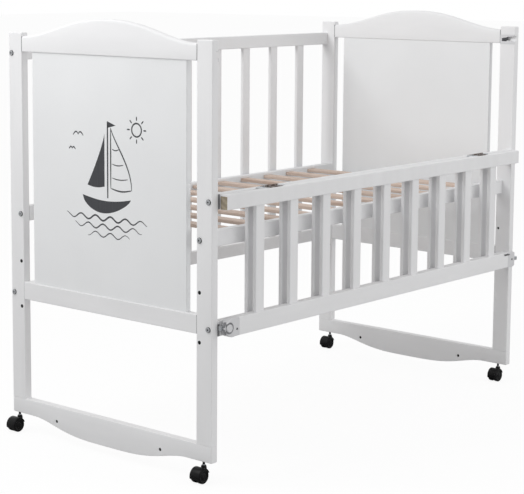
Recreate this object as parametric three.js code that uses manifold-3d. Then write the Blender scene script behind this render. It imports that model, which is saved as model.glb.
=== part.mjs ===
// A wooden baby crib on castors: two end frames with arched heads and printed panels, a slatted back,
// a slatted front whose upper half folds down on two hinges, and a slatted mattress base.
// Millimetres, +Z up. X runs along the crib, -Y is the front with the folding side, Z is 0 on the floor.
import * as THREE from 'three';
import { mergeVertices } from 'three/addons/utils/BufferGeometryUtils.js';
import Module from 'manifold-3d';

const wasm = await Module();
wasm.setup();

// Overall frame
const cribLength = 1240;
const cribWidth = 650;
const boardThickness = 20;
const arris = 2;
const seatGap = 0.3;
const mortiseDepth = 8;
const overshoot = 1; // how far a cutting body passes through a face
const chordError = 0.12; // how far a facet of a round body may lie inside its circle

// Posts
const postDepth = 45;
const postTop = 975;
const boltHeadRadius = 6.5;
const boltHeadDepth = 3;
const boltShankRadius = 3;
const spareHoleRadius = 3.5;

// Arched head rail, lower end rail and the panel between them
const archBottom = 930;
const archEndTop = 967;
const archRise = 45.5;
const archSharpness = 1.18;
const archSteps = 16;
const lowerRailBottom = 333;
const lowerRailHeight = 43;
const panelWidth = 494;
const panelThickness = 14;
const panelRecess = 3.5;

// Rockers, which the posts stand on
const rockerEndBottom = 48;
const rockerEndHeight = 38;
const rockerBulge = 27;
const rockerFlatEnd = 75;
const rockerSharpness = 1.8;
const rockerSteps = 14;
const rockerHoleRadius = 4;
const rockerHoleSpacing = 340;
const rockerHoleHeight = 50;

// Grilles: the back, the fixed front half and the folding half share their slats
const slatCount = 9;
const slatWidth = 29;
const slatThickness = 10;
const gridRailHeight = 34;
const gridBottom = 330;
const backTop = 943;
const frontTop = 644;

// Folding half of the front, shown hanging open in front of the fixed half
const gateGap = 4;
const gateEndGap = 3;
const latchRailHeight = 41;
const latchRailBottom = 330;

// Mattress base, bolted at the highest of three levels
const baseRailHeight = 36;
const baseRailInset = 6;
const baseLevels = [541, 426, 315];
const baseSlatCount = 11;
const baseSlatEndSpace = 105;
const baseSlatWidth = 34;
const baseSlatThickness = 8;
const baseSlatDrop = 7;

// Butterfly hinges
const hingeCentre = 426;
const hingeLength = 92;
const knuckleSpan = 48;
const leafWidth = 13;
const leafTipWidth = 2;
const leafThickness = 1.4;
const knuckleRadius = 2.8;
const hingePinRadius = 1;
const hingePinProud = 1;
const hingeAxisRise = 2;
const hingeScrewSpacing = 42;
const hingeScrewRadius = 1.8;

// Latches at the ends of the folding half
const housingLength = 42;
const housingEndGap = 2;
const housingEndBevel = 9;
const capRadius = 21;
const capDrop = 0.5;
const ringRadius = 13;
const ringDepth = 3;
const buttonRadius = 9;
const buttonFromEnd = 10.5;
const buttonLength = 7;
const buttonRounding = 1.5;
const buttonProud = 1.5;
const buttonTravel = 4;
const tongueThickness = 8;
const tongueHeight = 10;
const tongueLength = 24;
const tongueReach = 5;
const tongueFromBack = 1;
const tongueRounding = 1;
const latchScrewFromInnerEdge = 7;
const latchScrewRadius = 2.2;
const latchScrewDepth = 3;
const backHoleRadius = 3;
const backHoleDepth = 3;
const pryMarkLength = 28;
const pryMarkHeight = 3;
const pryMarkDepth = 2.5;
const pryMarkDrop = 2;
const pryMarkOnRail = 22;

// Catch plates let into the front posts, with a groove in the post behind the slot
const catchThickness = 1.5;
const catchHeight = 25;
const catchTopMargin = 11;
const catchSlotClearance = 1.2;
const catchSlotFlare = 3;
const catchSlotNarrowing = 4;
const catchBackMargin = 6;
const catchGrooveDepth = 8;

// Castors
const castorHeight = rockerEndBottom;
const wheelRadius = 17;
const wheelSides = 20;
const wheelPairWidth = 27;
const wheelWidth = 9.4;
const wheelFace = 12.5;
const wheelDish = 1.5;
const treadRounding = 2;
const hubRadius = 4.5;
const axleRadius = 3;
const castorTrail = 14;
const hoodWall = 1.4;
const hoodTilt = 18;
const hoodPlate = 7.4;
const hoodClearance = 0.5;
const collarRadius = 5;
const collarTop = 38;
const stemRadius = 3.5;
const stemInRocker = 22;
const stemInHood = 7;
const castorInsets = { front_left: 31, front_right: 31, back_left: 12, back_right: 35 };

// Values that follow from those above
const halfLength = cribLength / 2;
const halfWidth = cribWidth / 2;
const innerX = halfLength - boardThickness;
const innerY = halfWidth - postDepth;
const slatPitch = 2 * innerX / (slatCount + 1);
const baseSlatPitch = 2 * (innerX - baseSlatEndSpace) / (baseSlatCount - 1);
const rockerTop = rockerEndBottom + rockerEndHeight;
const lowerRailTop = lowerRailBottom + lowerRailHeight;
const railFront = [-halfWidth, -halfWidth + boardThickness];
const railBack = [halfWidth - boardThickness, halfWidth];
const gateBack = -halfWidth - gateGap;
const gateFront = gateBack - boardThickness;
const gateEndX = innerX - gateEndGap;
const latchRailTop = latchRailBottom + latchRailHeight;
const hingeAxisY = -halfWidth - gateGap / 2;
const hingeAxisZ = frontTop + hingeAxisRise;
const baseRailOuter = halfWidth - boardThickness - baseRailInset;
const baseRailInner = baseRailOuter - boardThickness;

// Finishes, as colours seen on the real thing
const finish = (color, roughness, metalness = 0) =>
  new THREE.MeshStandardMaterial({ color, roughness, metalness });
const whitePaint = finish(0xe4e4e5, 0.5);
const whitePanel = finish(0xe2e3e4, 0.4);
const beech = finish(0xd6b596, 0.6);
const whitePlastic = finish(0xdcdcdd, 0.4);
const darkSteel = finish(0x3a3532, 0.4, 0.9);
const brightSteel = finish(0xb9bbbd, 0.3, 1);
const blackNylon = finish(0x161617, 0.35);

// Turns a closed geometry into a solid that can be cut and joined
function solid(geometry) {
  const bare = geometry.clone();
  bare.deleteAttribute('normal');
  bare.deleteAttribute('uv');
  const merged = mergeVertices(bare, 1e-5);
  return new wasm.Manifold(new wasm.Mesh({
    numProp: 3,
    vertProperties: new Float32Array(merged.attributes.position.array),
    triVerts: new Uint32Array(merged.index.array),
  }));
}

function geometryOf(body) {
  const mesh = body.getMesh();
  const geometry = new THREE.BufferGeometry();
  geometry.setAttribute('position', new THREE.BufferAttribute(mesh.vertProperties, 3));
  geometry.setIndex(new THREE.BufferAttribute(mesh.triVerts, 1));
  geometry.computeVertexNormals();
  return geometry;
}

const join = (first, ...rest) => rest.reduce((body, other) => body.add(other), first);
const cut = (first, ...rest) => rest.reduce((body, other) => body.subtract(other), first);

function block(x, y, z) {
  const size = [x, y, z].map(([low, high]) => high - low);
  const centre = [x, y, z].map(([low, high]) => (low + high) / 2);
  return solid(new THREE.BoxGeometry(...size).translate(...centre));
}

// The facets, a multiple of four, that keep a round body within the chord error of its circle
const facets = (radius) => 4 * Math.ceil(Math.PI / Math.acos(1 - chordError / radius) / 4);

// A round rod along one axis, between two stations on it
function rod(axis, from, to, centre, radius) {
  const geometry = new THREE.CylinderGeometry(radius, radius, Math.abs(to - from), facets(radius));
  if (axis === 'x') geometry.rotateZ(Math.PI / 2);
  if (axis === 'z') geometry.rotateX(Math.PI / 2);
  const middle = (from + to) / 2;
  const place = { x: [middle, ...centre], y: [centre[0], middle, centre[1]], z: [...centre, middle] }[axis];
  return solid(geometry.translate(...place));
}

// A rectangle with rounded corners, as points that run once round it
function roundedOutline([uLow, uHigh], [vLow, vHigh], radius, steps = 2) {
  const corners = [[uHigh, vHigh], [uLow, vHigh], [uLow, vLow], [uHigh, vLow]];
  return corners.flatMap(([u, v], corner) => Array.from({ length: steps + 1 }, (_, step) => {
    const angle = (corner + step / steps) * Math.PI / 2;
    const centreU = u - Math.sign(u - (uLow + uHigh) / 2) * radius;
    const centreV = v - Math.sign(v - (vLow + vHigh) / 2) * radius;
    return [centreU + radius * Math.cos(angle), centreV + radius * Math.sin(angle)];
  }));
}

// Skins a row of outlines with equal point counts and closes both ends
function loft(rings) {
  const count = rings[0].length;
  const index = [];
  for (let ring = 0; ring + 1 < rings.length; ring += 1) {
    for (let point = 0; point < count; point += 1) {
      const a = ring * count + point;
      const b = ring * count + (point + 1) % count;
      index.push(a, b, b + count, a, b + count, a + count);
    }
  }
  const last = (rings.length - 1) * count;
  for (let point = 1; point + 1 < count; point += 1) {
    index.push(0, point + 1, point);
    index.push(last, last + point, last + point + 1);
  }
  const geometry = new THREE.BufferGeometry();
  geometry.setAttribute('position', new THREE.Float32BufferAttribute(rings.flat(2), 3));
  geometry.setIndex(index);
  return geometry;
}

// A plate or wedge: an outline in x and y, between two heights
const prism = (outline, z) => solid(loft(z.map((height) => outline.map(([x, y]) => [x, y, height]))));

// A timber: rounded sections at stations along an axis. Along y the section lies in x and z, and so on.
function timber(axis, stations, radius = arris) {
  const place = { x: (t, u, v) => [t, u, v], y: (t, u, v) => [u, t, v], z: (t, u, v) => [u, v, t] }[axis];
  const order = axis === 'y' ? [...stations].reverse() : stations;
  const rings = order.map(({ at, u, v }) => roundedOutline(u, v, radius).map((p) => place(at, ...p)));
  return solid(loft(rings));
}

const straight = (axis, ends, u, v, radius) => timber(axis, ends.map((at) => ({ at, u, v })), radius);

const grow = ([low, high], by) => [low - by, high + by];
const spread = (count, pitch) => Array.from({ length: count }, (_, i) => (i - (count - 1) / 2) * pitch);

const crib = new THREE.Group();

function addPiece(name, body, material, parent = crib) {
  const mesh = new THREE.Mesh(geometryOf(body), material);
  mesh.name = name;
  parent.add(mesh);
}

// One half of a cosine hill: 1 in the middle, 0 at the foot, with a fuller crown as sharpness grows
const hill = (reach, sharpness) => (1 + Math.cos(Math.PI * Math.min(1, reach) ** sharpness)) / 2;

// The tongues' place when the folding half stands up, which is where the catches wait for them.
// The slots are open to the front and widen upwards there, so that the tongues swing in.
const gateMiddleY = (gateFront + gateBack) / 2;
const tongueY = [
  boardThickness / 2 - tongueFromBack - tongueThickness,
  boardThickness / 2 - tongueFromBack,
];
const latchMiddleZ = (latchRailBottom + latchRailTop) / 2 - capDrop;
const raisedTongueZ = 2 * hingeAxisZ - latchMiddleZ;
const raisedTongueBack = 2 * hingeAxisY - (gateMiddleY + tongueY[0]);
const catchTop = raisedTongueZ + catchTopMargin;
const catchZ = [catchTop - catchHeight, catchTop];

function catchSlot(side, depth) {
  const half = tongueHeight / 2 + catchSlotClearance;
  const shoulder = raisedTongueBack + catchSlotClearance;
  const back = -innerY - catchBackMargin;
  const outline = [
    [-halfWidth - overshoot, raisedTongueZ - half],
    [shoulder, raisedTongueZ - half],
    [back, raisedTongueZ - half + catchSlotNarrowing],
    [back, raisedTongueZ + half - catchSlotNarrowing],
    [shoulder, raisedTongueZ + half],
    [-halfWidth - overshoot, raisedTongueZ + half + catchSlotFlare],
  ];
  const reach = side < 0 ? [-innerX - depth, -innerX + overshoot] : [innerX - overshoot, innerX + depth];
  return solid(loft(reach.map((x) => outline.map(([y, z]) => [x, y, z]))));
}

function catchPlate(side) {
  const x = side < 0 ? [-innerX - catchThickness, -innerX] : [innerX, innerX + catchThickness];
  return cut(block(x, [-halfWidth, -innerY], catchZ), catchSlot(side, catchThickness + overshoot));
}

function catchRecess(side) {
  const x = grow([side * innerX, side * innerX], catchThickness + seatGap);
  return block(x, grow([-halfWidth, -innerY], overshoot), grow(catchZ, seatGap));
}

// End frames
const frameX = (side) => (side < 0 ? [-halfLength, -innerX] : [innerX, halfLength]);
const panelX = (side) => {
  const outer = side * (halfLength - panelRecess);
  const inner = outer - side * panelThickness;
  return [Math.min(outer, inner), Math.max(outer, inner)];
};
const railBoltY = halfWidth - boardThickness / 2;
const baseBoltY = (baseRailOuter + baseRailInner) / 2;
const sideName = (side) => (side < 0 ? 'left' : 'right');
const faceName = (face) => (face < 0 ? 'front' : 'back');

function post(side, face) {
  const y = face < 0 ? [-halfWidth, -innerY] : [innerY, halfWidth];
  const x = frameX(side);
  const timberPost = timber('z', [
    { at: rockerTop, u: x, v: y },
    { at: postTop - arris, u: x, v: y },
    { at: postTop, u: grow(x, -arris / 2), v: grow(y, -arris / 2) },
  ]);
  const outer = side * halfLength;
  const outside = outer + side * overshoot;
  const inside = side * (innerX - overshoot);
  const shank = (y0, z0, radius) => rod('x', outside, inside, [y0, z0], radius);
  const head = (y0, z0) => rod('x', outside, outer - side * boltHeadDepth, [y0, z0], boltHeadRadius);
  const upperBolt = (face < 0 ? frontTop : backTop) - gridRailHeight / 2;
  const lowerBolt = gridBottom + gridRailHeight / 2;
  const railBolts = [upperBolt, lowerBolt].flatMap((z) => [
    head(face * railBoltY, z),
    shank(face * railBoltY, z, boltShankRadius),
  ]);
  const [usedLevel, ...spareLevels] = baseLevels;
  const catchCuts = face < 0 ? [catchRecess(side), catchSlot(side, catchGrooveDepth)] : [];
  return cut(
    timberPost,
    ...catchCuts,
    ...railBolts,
    head(face * baseBoltY, usedLevel),
    shank(face * baseBoltY, usedLevel, boltShankRadius),
    ...spareLevels.map((z) => shank(face * baseBoltY, z, spareHoleRadius)),
  );
}

function archedRail(side) {
  const stations = Array.from({ length: archSteps + 1 }, (_, i) => {
    const at = -innerY + 2 * innerY * i / archSteps;
    const top = archEndTop + archRise * hill(Math.abs(at) / innerY, archSharpness);
    return { at, u: frameX(side), v: [archBottom, top] };
  });
  const groove = block(
    grow(panelX(side), seatGap),
    grow([-panelWidth / 2, panelWidth / 2], seatGap),
    [archBottom - overshoot, archBottom + mortiseDepth + seatGap],
  );
  return cut(timber('y', stations), groove);
}

function lowerRail(side) {
  const rail = straight('y', [-innerY, innerY], frameX(side), [lowerRailBottom, lowerRailTop]);
  const groove = block(
    grow(panelX(side), seatGap),
    grow([-panelWidth / 2, panelWidth / 2], seatGap),
    [lowerRailTop - mortiseDepth - seatGap, lowerRailTop + overshoot],
  );
  return cut(rail, groove);
}

const castorPlace = (side, face) => {
  const inset = castorInsets[`${faceName(face)}_${sideName(side)}`];
  return [side * (halfLength - boardThickness / 2), face * (halfWidth - inset)];
};

function rocker(side) {
  const reach = halfWidth - rockerFlatEnd;
  const bulging = Array.from({ length: rockerSteps + 1 }, (_, i) => -reach + 2 * reach * i / rockerSteps);
  const stations = [-halfWidth, ...bulging, halfWidth].map((at) => ({
    at,
    u: frameX(side),
    v: [rockerEndBottom - rockerBulge * hill(Math.abs(at) / reach, rockerSharpness), rockerTop],
  }));
  const across = grow(frameX(side), overshoot);
  const holes = [-1, 1].map((face) =>
    rod('x', ...across, [face * rockerHoleSpacing / 2, rockerHoleHeight], rockerHoleRadius));
  const socketZ = [rockerEndBottom - overshoot, rockerEndBottom + stemInRocker + seatGap];
  const sockets = [-1, 1].map((face) =>
    rod('z', ...socketZ, castorPlace(side, face), stemRadius + seatGap));
  return cut(timber('y', stations), ...holes, ...sockets);
}

function panel(side) {
  const z = [lowerRailTop - mortiseDepth, archBottom + mortiseDepth];
  return straight('z', z, panelX(side), [-panelWidth / 2, panelWidth / 2], arris / 2);
}

for (const side of [-1, 1]) {
  const end = sideName(side);
  for (const face of [-1, 1]) addPiece(`post_${faceName(face)}_${end}`, post(side, face), whitePaint);
  addPiece(`head_rail_${end}`, archedRail(side), whitePaint);
  addPiece(`lower_rail_${end}`, lowerRail(side), whitePaint);
  addPiece(`rocker_${end}`, rocker(side), whitePaint);
  addPiece(`panel_${end}`, panel(side), whitePanel);
  addPiece(`catch_plate_${end}`, catchPlate(side), whitePlastic);
}

// A rail with its slats standing on it, and the facing rail with a mortise for each slat
const slatX = spread(slatCount, slatPitch).map((x) => grow([x, x], slatWidth / 2));

function comb(railX, railY, railZ, slatsTo) {
  const rail = straight('x', railX, railY, railZ);
  const middleY = (railY[0] + railY[1]) / 2;
  const slatY = [middleY - slatThickness / 2, middleY + slatThickness / 2];
  const upward = slatsTo > railZ[1];
  const slatZ = upward ? [railZ[1] - mortiseDepth, slatsTo] : [slatsTo, railZ[0] + mortiseDepth];
  const slats = slatX.map((x) => straight('z', slatZ, x, slatY));
  return join(rail, ...slats);
}

function mortisedRail(railX, railY, railZ, fromBelow) {
  const middleY = (railY[0] + railY[1]) / 2;
  const slatY = [middleY - slatThickness / 2, middleY + slatThickness / 2];
  const z = fromBelow
    ? [railZ[0] - overshoot, railZ[0] + mortiseDepth]
    : [railZ[1] - mortiseDepth, railZ[1] + overshoot];
  const mortises = slatX.map((x) => block(grow(x, seatGap), grow(slatY, seatGap), z));
  return cut(straight('x', railX, railY, railZ), ...mortises);
}

const fullX = [-innerX, innerX];
const bottomRailZ = [gridBottom, gridBottom + gridRailHeight];
for (const [name, railY, top] of [['back', railBack, backTop], ['front', railFront, frontTop]]) {
  const topRailZ = [top - gridRailHeight, top];
  const slatsTo = topRailZ[0] + mortiseDepth - seatGap;
  addPiece(`${name}_slats_and_bottom_rail`, comb(fullX, railY, bottomRailZ, slatsTo), whitePaint);
  addPiece(`${name}_top_rail`, mortisedRail(fullX, railY, topRailZ, true), whitePaint);
}

// Folding half: the rail with the hinges carries the slats, the rail with the latches has the mortises.
// A shallow mark, where a latch is prised out, runs across the joint of that rail and the housing's back.
const gateY = [gateFront, gateBack];
const hingeRailZ = [frontTop - gridRailHeight, frontTop];
const latchRailEnd = innerX - housingEndGap - housingLength;
const latchRailX = [-latchRailEnd, latchRailEnd];
const latchRailZ = [latchRailBottom, latchRailTop];
const pryMark = block(
  [-latchRailEnd + pryMarkOnRail - pryMarkLength, -latchRailEnd + pryMarkOnRail],
  [boardThickness / 2 - pryMarkDepth, boardThickness / 2 + overshoot],
  [latchRailTop - pryMarkDrop - pryMarkHeight, latchRailTop - pryMarkDrop],
);
const leftMark = pryMark.translate([0, gateMiddleY, 0]);
const rightMark = pryMark.rotate([0, 0, 180]).translate([0, gateMiddleY, 0]);
const latchRail = cut(mortisedRail(latchRailX, gateY, latchRailZ, false), leftMark, rightMark);
addPiece(
  'gate_slats_and_hinge_rail',
  comb([-gateEndX, gateEndX], gateY, hingeRailZ, latchRailTop - mortiseDepth + seatGap),
  whitePaint,
);
addPiece('gate_latch_rail', latchRail, whitePaint);

// Mattress base
const baseTop = baseLevels[0] + baseRailHeight / 2;
const baseSlatZ = [baseTop - baseSlatDrop - baseSlatThickness, baseTop - baseSlatDrop];
const baseSlatReach = baseRailInner + mortiseDepth;
const baseSlatX = spread(baseSlatCount, baseSlatPitch).map((x) => grow([x, x], baseSlatWidth / 2));

function baseRail(face) {
  const y = face < 0 ? [-baseRailOuter, -baseRailInner] : [baseRailInner, baseRailOuter];
  const mortiseY = face < 0
    ? [-baseSlatReach - seatGap, -baseRailInner + overshoot]
    : [baseRailInner - overshoot, baseSlatReach + seatGap];
  const mortises = baseSlatX.map((x) => block(grow(x, seatGap), mortiseY, grow(baseSlatZ, seatGap)));
  const z = grow([baseLevels[0], baseLevels[0]], baseRailHeight / 2);
  return cut(straight('x', fullX, y, z), ...mortises);
}

for (const face of [-1, 1]) addPiece(`base_rail_${faceName(face)}`, baseRail(face), whitePaint);
baseSlatX.forEach((x, i) => {
  const slat = straight('y', [-baseSlatReach, baseSlatReach], x, baseSlatZ);
  addPiece(`base_slat_${String(i + 1).padStart(2, '0')}`, slat, beech);
});

// Hinges: each leaf lies on its rail's top face and tapers to both ends.
// The knuckles of both leaves share a pin above the gap between the rails.
const hingeAxis = [hingeAxisY, hingeAxisZ];

function leaf(centre, facing) {
  const third = knuckleSpan / 3;
  const ends = grow([centre, centre], knuckleSpan / 2);
  const middle = grow([centre, centre], third / 2);
  const outerKnuckles = (gap) => [
    [ends[0] - gap, middle[0] - seatGap + gap],
    [middle[1] + seatGap - gap, ends[1] + gap],
  ];
  const middleKnuckle = (gap) => [grow(middle, gap)];
  const own = facing > 0 ? outerKnuckles(0) : middleKnuckle(0);
  const other = facing > 0 ? middleKnuckle(seatGap) : outerKnuckles(seatGap);
  const reach = hingeLength / 2;
  const inner = hingeAxisY + facing * seatGap;
  const edge = hingeAxisY + facing * (gateGap / 2 + leafWidth);
  const tip = hingeAxisY + facing * (gateGap / 2 + leafTipWidth);
  const outline = [
    [centre - reach, inner], [centre + reach, inner], [centre + reach, tip],
    [ends[1], edge], [ends[0], edge], [centre - reach, tip],
  ];
  if (facing < 0) outline.reverse();
  const plate = prism(outline, [frontTop, frontTop + leafThickness]);
  const relief = other.map((x) => rod('x', ...x, hingeAxis, knuckleRadius + seatGap));
  const bore = rod('x', ...grow(ends, overshoot), hingeAxis, hingePinRadius + seatGap);
  const screwY = hingeAxisY + facing * (gateGap / 2 + leafWidth / 2);
  const screwZ = grow([frontTop, frontTop + leafThickness], overshoot);
  const screws = [-1, 1].map((end) =>
    rod('z', ...screwZ, [centre + end * hingeScrewSpacing / 2, screwY], hingeScrewRadius));
  const knuckles = own.map((x) => rod('x', ...x, hingeAxis, knuckleRadius));
  return cut(join(cut(plate, ...relief), ...knuckles), bore, ...screws);
}

for (const side of [-1, 1]) {
  const centre = side * hingeCentre;
  const end = sideName(side);
  addPiece(`hinge_leaf_fixed_${end}`, leaf(centre, 1), darkSteel);
  addPiece(`hinge_leaf_gate_${end}`, leaf(centre, -1), darkSteel);
  const pinX = grow([centre, centre], knuckleSpan / 2 + hingePinProud);
  addPiece(`hinge_pin_${end}`, rod('x', ...pinX, hingeAxis, hingePinRadius), darkSteel);
}

// Latches. One moulding serves both ends, so the right one is the left one turned half round:
// it is built about the middle of the crib, and a group turns it for the right end.
const housingEnd = -innerX + housingEndGap;
const housingX = [housingEnd, housingEnd + housingLength];
const capCentre = [housingEnd + capRadius, (latchRailBottom + latchRailTop) / 2 - capDrop];
const buttonX = housingEnd + buttonFromEnd;
const buttonFront = -boardThickness / 2 - buttonProud;

function housing() {
  const half = boardThickness / 2;
  const plate = straight('x', [capCentre[0], housingX[1]], [-half, half], latchRailZ);
  const cap = rod('y', -half, half, capCentre, capRadius);
  const bevelled = housingEnd + housingEndBevel;
  const outline = [
    [housingEnd - overshoot, 0], [housingEnd, 0], [bevelled, half],
    [bevelled, half + overshoot], [housingEnd - overshoot, half + overshoot],
  ];
  const bevelZ = grow([capCentre[1], capCentre[1]], capRadius + overshoot);
  const bevel = prism(outline, bevelZ);
  const button = [buttonX, capCentre[1]];
  const outside = -half - overshoot;
  const ring = rod('y', outside, -half + ringDepth, button, ringRadius);
  const wellEnd = buttonFront + buttonLength + buttonTravel + seatGap;
  const well = rod('y', outside, wellEnd, button, buttonRadius + seatGap);
  const channel = block(
    [housingX[0] - overshoot, housingX[0] + tongueLength + seatGap],
    grow(tongueY, seatGap),
    grow([capCentre[1], capCentre[1]], tongueHeight / 2 + seatGap),
  );
  const screwPlace = [housingX[1] - latchScrewFromInnerEdge, capCentre[1]];
  const screw = rod('y', outside, -half + latchScrewDepth, screwPlace, latchScrewRadius);
  const backHole = rod('y', half - backHoleDepth, half + overshoot, capCentre, backHoleRadius);
  return cut(join(plate, cap), bevel, ring, well, channel, screw, backHole, pryMark);
}

function button() {
  const profile = [
    [0, 0], [buttonRadius - buttonRounding, 0], [buttonRadius - buttonRounding / 4, buttonRounding / 4],
    [buttonRadius, buttonRounding], [buttonRadius, buttonLength], [0, buttonLength],
  ].map(([r, y]) => new THREE.Vector2(r, y));
  const turned = new THREE.LatheGeometry(profile, facets(buttonRadius));
  return solid(turned.translate(buttonX, buttonFront, capCentre[1]));
}

function tongue() {
  const tip = housingEnd - tongueReach;
  const z = grow([capCentre[1], capCentre[1]], tongueHeight / 2);
  return straight('x', [tip, tip + tongueLength], tongueY, z, tongueRounding);
}

for (const side of [-1, 1]) {
  const end = sideName(side);
  const latch = new THREE.Group();
  latch.position.y = gateMiddleY;
  latch.rotation.z = side < 0 ? 0 : Math.PI;
  crib.add(latch);
  addPiece(`latch_housing_${end}`, housing(), whitePlastic, latch);
  addPiece(`latch_button_${end}`, button(), whitePlastic, latch);
  addPiece(`latch_tongue_${end}`, tongue(), brightSteel, latch);
}

// Castors: a stem in the rocker, a swivelling hood on it, and a pair of wheels on one axle.
// Each is built about the stem's axis, with the wheels trailing to -X and resting on a flat of their tread.
const axleHeight = wheelRadius * Math.cos(Math.PI / wheelSides);

function castorHood() {
  const axle = [-castorTrail, axleHeight];
  const inside = wheelRadius + hoodClearance;
  const outside = inside + hoodWall;
  const half = wheelPairWidth / 2;
  const drum = rod('y', -half, half, axle, outside);
  const mouth = block([-2 * outside, 2 * outside], grow([-half, half], overshoot), [-2 * outside, 0])
    .rotate([0, -hoodTilt, 0])
    .translate([-castorTrail, 0, axleHeight]);
  const plate = rod('y', -hoodPlate / 2, hoodPlate / 2, axle, wheelRadius - treadRounding);
  const collar = rod('z', collarTop - stemInHood - hoodWall, collarTop, [0, 0], collarRadius);
  const wheelSpace = [-1, 1].map((way) =>
    rod('y', way * hoodPlate / 2, way * (half + overshoot), axle, inside));
  const bore = rod('y', -half, half, axle, axleRadius + seatGap);
  const stemBoreZ = [collarTop - stemInHood - seatGap, collarTop + overshoot];
  const stemBore = rod('z', ...stemBoreZ, [0, 0], stemRadius + seatGap);
  return cut(join(cut(drum, mouth), plate, collar), ...wheelSpace, bore, stemBore);
}

function wheelPair() {
  const inner = wheelPairWidth / 2 - wheelWidth;
  const outer = wheelPairWidth / 2;
  const wheelProfile = [
    [0, inner], [wheelRadius, inner], [wheelRadius, outer - treadRounding],
    [wheelRadius - treadRounding, outer], [wheelFace, outer], [wheelFace - wheelDish, outer - wheelDish],
    [hubRadius + wheelDish, outer - wheelDish], [hubRadius, outer], [0, outer],
  ].map(([r, y]) => new THREE.Vector2(r, y));
  const wheel = new THREE.LatheGeometry(wheelProfile, wheelSides).rotateY(Math.PI / wheelSides);
  const wheels = [solid(wheel), solid(wheel.clone().rotateX(Math.PI))];
  const axle = rod('y', ...grow([-inner, inner], overshoot), [0, 0], axleRadius);
  return join(axle, ...wheels).translate([-castorTrail, 0, axleHeight]);
}

function castorStem() {
  const bottom = collarTop - stemInHood;
  return rod('z', bottom, castorHeight + stemInRocker, [0, 0], stemRadius);
}

for (const side of [-1, 1]) {
  for (const face of [-1, 1]) {
    const corner = `${faceName(face)}_${sideName(side)}`;
    const castor = new THREE.Group();
    castor.position.set(...castorPlace(side, face), 0);
    crib.add(castor);
    addPiece(`castor_stem_${corner}`, castorStem(), brightSteel, castor);
    addPiece(`castor_hood_${corner}`, castorHood(), blackNylon, castor);
    addPiece(`castor_wheels_${corner}`, wheelPair(), blackNylon, castor);
  }
}

// The origin lies on the floor, under the middle of the whole crib's box
crib.updateMatrixWorld(true);
const box = new THREE.Box3().setFromObject(crib);
crib.position.set(-(box.min.x + box.max.x) / 2, -(box.min.y + box.max.y) / 2, -box.min.z);

export default crib;
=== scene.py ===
"""The looks of a white wooden baby crib: paint, beech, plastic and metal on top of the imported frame."""

import math

import bmesh
import bpy
import numpy as np
from bpy.props import FloatProperty, FloatVectorProperty, PointerProperty
from mathutils import Matrix, Vector


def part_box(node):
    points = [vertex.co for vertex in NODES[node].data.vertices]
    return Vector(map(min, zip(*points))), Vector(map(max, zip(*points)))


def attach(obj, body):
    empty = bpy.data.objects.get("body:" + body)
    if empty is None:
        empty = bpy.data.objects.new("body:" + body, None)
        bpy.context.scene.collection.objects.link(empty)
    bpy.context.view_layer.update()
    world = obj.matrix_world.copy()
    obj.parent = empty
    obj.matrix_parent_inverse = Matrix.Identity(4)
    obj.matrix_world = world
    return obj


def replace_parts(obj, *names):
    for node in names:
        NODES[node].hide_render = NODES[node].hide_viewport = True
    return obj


bl_info = {
    "name": "Wooden crib",
    "version": (1, 0, 0),
    "blender": (4, 5, 0),
    "location": "3D View > Sidebar > Crib",
    "description": "Finishes a wooden crib with a folding front: paint, wood, latches and castors",
    "category": "Object",
}

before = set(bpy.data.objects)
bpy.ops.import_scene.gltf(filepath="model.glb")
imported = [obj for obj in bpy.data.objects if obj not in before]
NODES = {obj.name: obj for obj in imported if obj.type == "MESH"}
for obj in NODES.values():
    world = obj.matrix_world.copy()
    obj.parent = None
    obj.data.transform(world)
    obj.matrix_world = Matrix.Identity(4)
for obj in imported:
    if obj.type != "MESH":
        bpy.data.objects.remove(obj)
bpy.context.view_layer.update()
MM = 0.001
SIDES = {"left": -1, "right": 1}
FACES = {"front": -1, "back": 1}
CORNERS = [(face, side) for face in FACES for side in SIDES]


# Colours and sizes that a user would change


def linear(hex_colour):
    """An sRGB hex colour as linear red, green and blue."""
    srgb = np.array([int(hex_colour[i : i + 2], 16) for i in (0, 2, 4)]) / 255
    return tuple(np.where(srgb <= 0.04045, srgb / 12.92, ((srgb + 0.055) / 1.055) ** 2.4))


def colour_property(name, description, hex_colour):
    """A colour that a user may change, with an sRGB hex colour as its default."""
    return FloatVectorProperty(
        name=name, description=description, subtype="COLOR", size=3, min=0, max=1, default=linear(hex_colour)
    )


def length_property(name, description, millimetres):
    """A length that a user may change, with its default in millimetres."""
    return FloatProperty(name=name, description=description, unit="LENGTH", default=millimetres * MM)


class CribColours(bpy.types.PropertyGroup):
    """Colours of the crib's finishes."""

    paint: colour_property("Paint", "White enamel on the timber", "F1F1F2")
    panel: colour_property("Panel", "White face of the end panels", "F0F1F2")
    beech: colour_property("Beech", "Bare wood of the base slats", "E2CEC0")
    beech_dark: colour_property("Beech grain", "Darker grain of the base slats", "BFA493")
    end_grain: colour_property("End grain", "Unpainted end of the folding rail", "AEA28D")
    plastic: colour_property("Plastic", "Moulded latches and catch plates", "DCDCDE")
    # This grey also colours the joint lines and the painted shade in the latches' dishes and beside the left
    # post.
    seal: colour_property("Seal", "Grey of joint lines and painted shade", "8C8C8F")
    nylon: colour_property("Nylon", "Castor hoods and wheels", "060607")
    zinc: colour_property("Zinc", "Stems and tongues", "C4C7CA")
    bronze: colour_property("Bronzed steel", "Hinges and their screws", "5A4B43")
    bolt: colour_property("Bolt heads", "Grey phosphated steel of the bolts", "B4B6B9")
    # The ink also paints the shade in the catches' slots.
    ink: colour_property("Ink", "Screen print on the left end panel", "3B3C40")


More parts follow.
